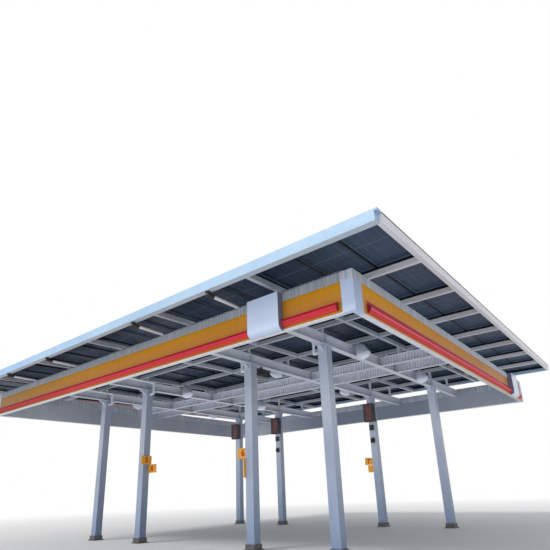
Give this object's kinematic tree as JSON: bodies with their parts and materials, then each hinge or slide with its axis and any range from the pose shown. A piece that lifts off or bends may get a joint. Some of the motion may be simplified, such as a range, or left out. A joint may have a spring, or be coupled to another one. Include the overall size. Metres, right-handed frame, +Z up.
{
  "type": "filling station canopy",
  "caption": "Filling station canopy on box columns, with an amber fascia ring, red light bars and a tilted roof of solar modules on a steel grid.",
  "frame": {"origin": "plan centre of the canopy on the ground", "axes": "+X to the right along the front fascia, +Y to the rear, +Z up"},
  "size_m": [18.792, 16.8012, 6.4618],
  "materials": {
    "column_steel": "satin white paint, lightly dusty",
    "beam_steel": "satin white paint, lightly dusty",
    "grid_steel": "satin white paint",
    "edge_steel": "satin white paint",
    "rail": "black anodised rail",
    "solar": "dark slate backsheet with a faint cell grid",
    "fascia_panel": "satin amber sheet with white lip",
    "flashing_sheet": "ribbed grey sheet",
    "corner_sheet": "satin white sheet",
    "light_bar": "glossy red diffuser",
    "sign_face": "glossy bare white sign face",
    "pipe": "white rain pipe with dark outlet",
    "lamp": "white lamp body with clear lens",
    "dark_housing": "dark weathered housing",
    "number_flag": "yellow plate with a plain number"
  },
  "bodies": {
    "root": {"column_front_1": "column_steel", "column_front_2": "column_steel", "column_front_3": "column_steel", "column_front_4": "column_steel", "column_rear_1": "column_steel", "column_rear_2": "column_steel", "column_rear_3": "column_steel", "column_rear_4": "column_steel", "main_beam_1": "beam_steel", "main_beam_2": "beam_steel", "main_beam_3": "beam_steel", "main_beam_4": "beam_steel", "girder_front": "beam_steel", "girder_rear": "beam_steel", "beam_posts": "beam_steel", "girder_posts": "beam_steel", "purlins": "grid_steel", "rafters": "grid_steel", "edge_channel_front": "edge_steel", "edge_channel_rear": "edge_steel", "edge_beam_left": "edge_steel", "edge_beam_right": "edge_steel", "mounting_rails": "rail", "solar_row_1": "solar", "solar_row_2": "solar", "solar_row_3": "solar", "solar_row_4": "solar", "solar_row_5": "solar", "solar_row_6": "solar", "solar_row_7": "solar", "solar_row_8": "solar", "fascia_front": "fascia_panel", "fascia_right": "fascia_panel", "fascia_rear": "fascia_panel", "fascia_left": "fascia_panel", "flashing": "flashing_sheet", "corner_posts": "corner_sheet", "light_bars": "light_bar", "sign_front": "sign_face", "sign_right": "sign_face", "rain_pipes": "pipe", "lamps": "lamp", "floodlight": "dark_housing", "column_boxes": "column_steel", "number_flags": "number_flag"}
  },
  "joints": []
}
